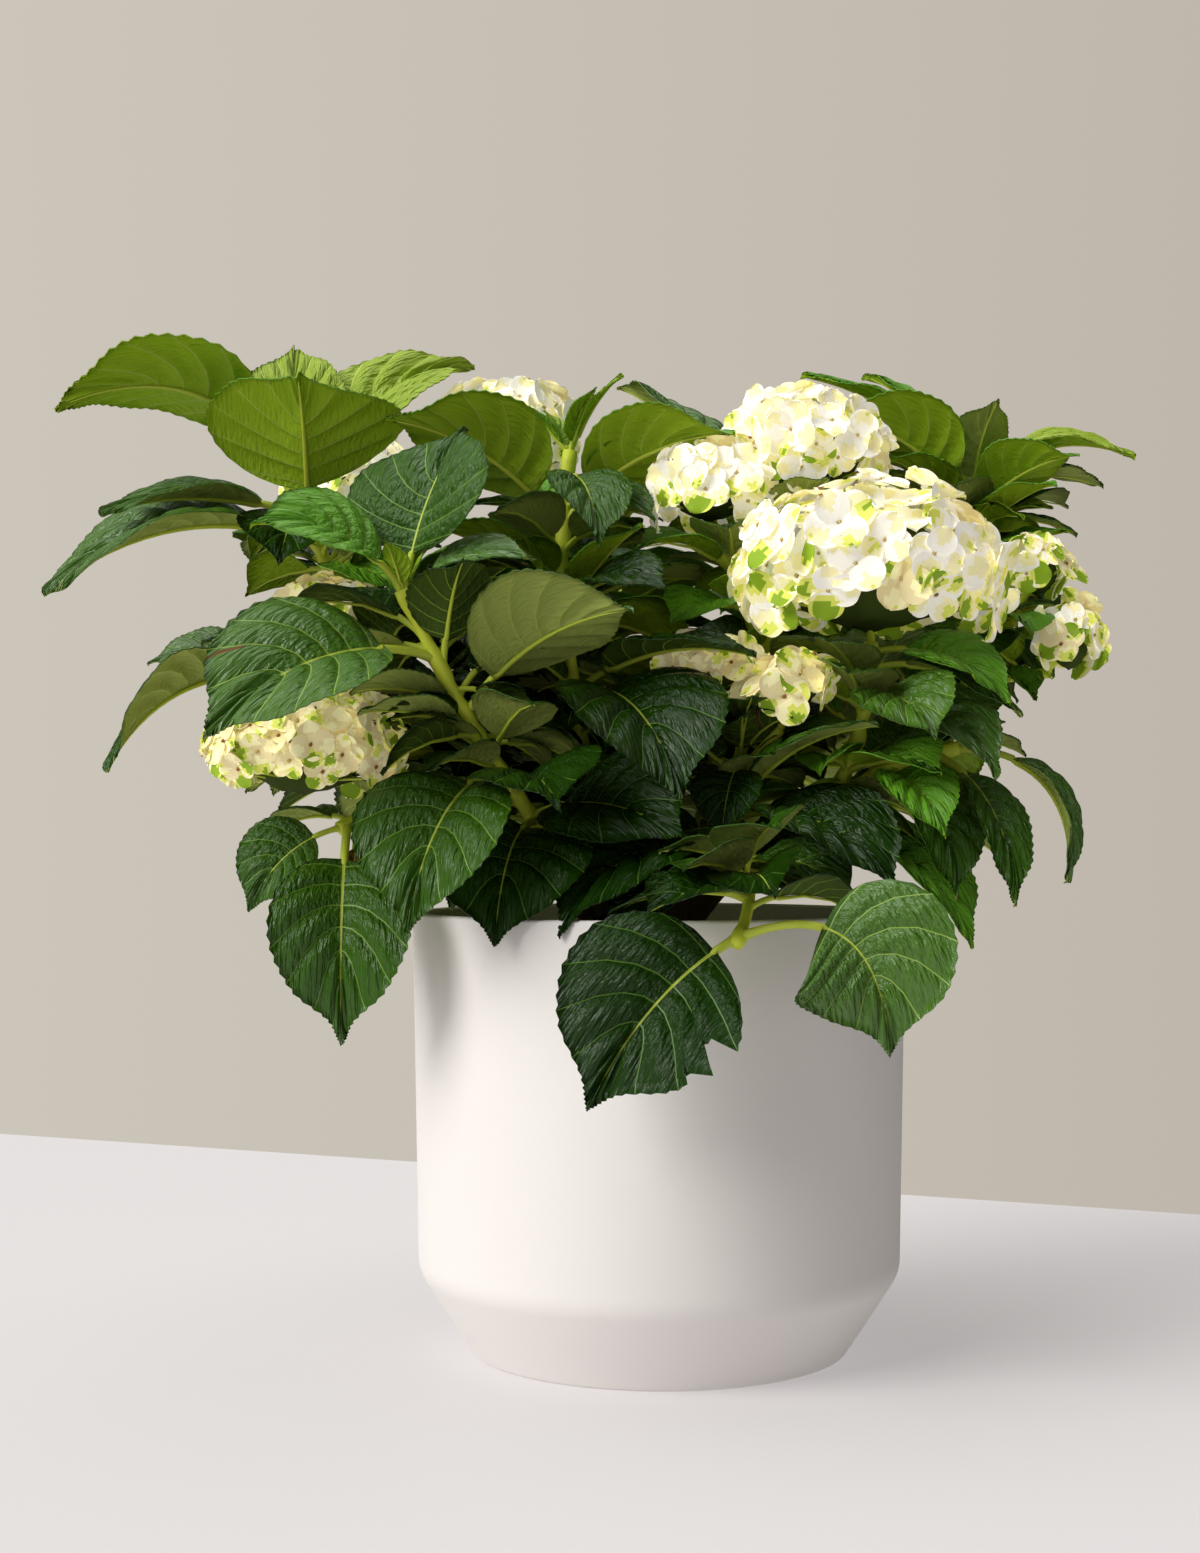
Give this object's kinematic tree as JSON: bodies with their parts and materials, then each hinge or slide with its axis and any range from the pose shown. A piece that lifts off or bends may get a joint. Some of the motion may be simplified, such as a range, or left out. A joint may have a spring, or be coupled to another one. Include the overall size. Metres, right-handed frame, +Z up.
{
  "type": "potted hydrangea shrub",
  "caption": "Bigleaf hydrangea in full leaf with white and green mop heads, growing from soil in a plain round off-white planter with a chamfered foot.",
  "frame": {"origin": "the middle of the planter's flat underside, on the surface that it stands on", "axes": "+Z up the planter's axis, +Y to the plant's back, away from the picture's camera, +X to the picture's right"},
  "size_m": [0.7003, 0.5238, 0.6478],
  "materials": {
    "pot": "matt",
    "soil": "rough, granular",
    "stem": "semi-matt, lightly ribbed",
    "foliage": "semi-gloss leaves, matt flowers"
  },
  "bodies": {
    "root": {"pot": "pot", "soil": "soil", "crown": "stem", "cane_left": "stem", "cane_front_left": "stem", "cane_centre": "stem", "cane_front": "stem", "cane_right": "stem", "cane_upper_right": "stem", "cane_far_right": "stem", "cane_back_right": "stem", "cane_back": "stem", "cane_back_left": "stem", "foliage_left": "foliage", "foliage_front_left": "foliage", "foliage_centre": "foliage", "foliage_front": "foliage", "foliage_right": "foliage", "foliage_upper_right": "foliage", "foliage_far_right": "foliage", "foliage_back_right": "foliage", "foliage_back": "foliage", "foliage_back_left": "foliage"}
  },
  "joints": []
}
